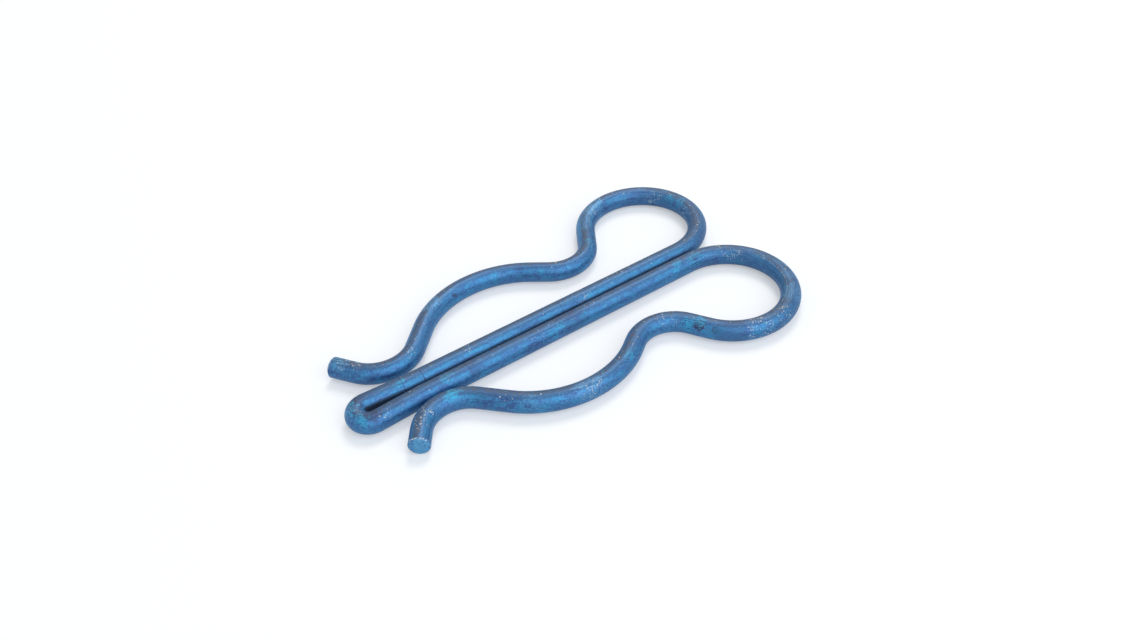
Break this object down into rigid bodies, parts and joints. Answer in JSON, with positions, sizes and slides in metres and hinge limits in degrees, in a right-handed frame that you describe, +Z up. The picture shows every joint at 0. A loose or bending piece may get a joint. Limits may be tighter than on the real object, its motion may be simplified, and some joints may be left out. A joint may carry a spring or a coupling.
{
  "type": "double r clip",
  "caption": "Double R-clip of round spring wire bent flat: a hairpin tongue for a shaft's cross hole, with a pull loop, a throat bend and a gripping arch on each side",
  "frame": {"origin": "middle of the clip's length and width, on the surface it lies on", "axes": "+X along the tongue from its tip to the loops, +Y towards the left arm, +Z up, out of the flat clip"},
  "size_m": [0.0899, 0.0556, 0.004],
  "materials": {
    "blue_spring_steel": "satin blue plating, lightly rubbed"
  },
  "bodies": {
    "root": {"wire_clip": "blue_spring_steel"}
  },
  "joints": []
}
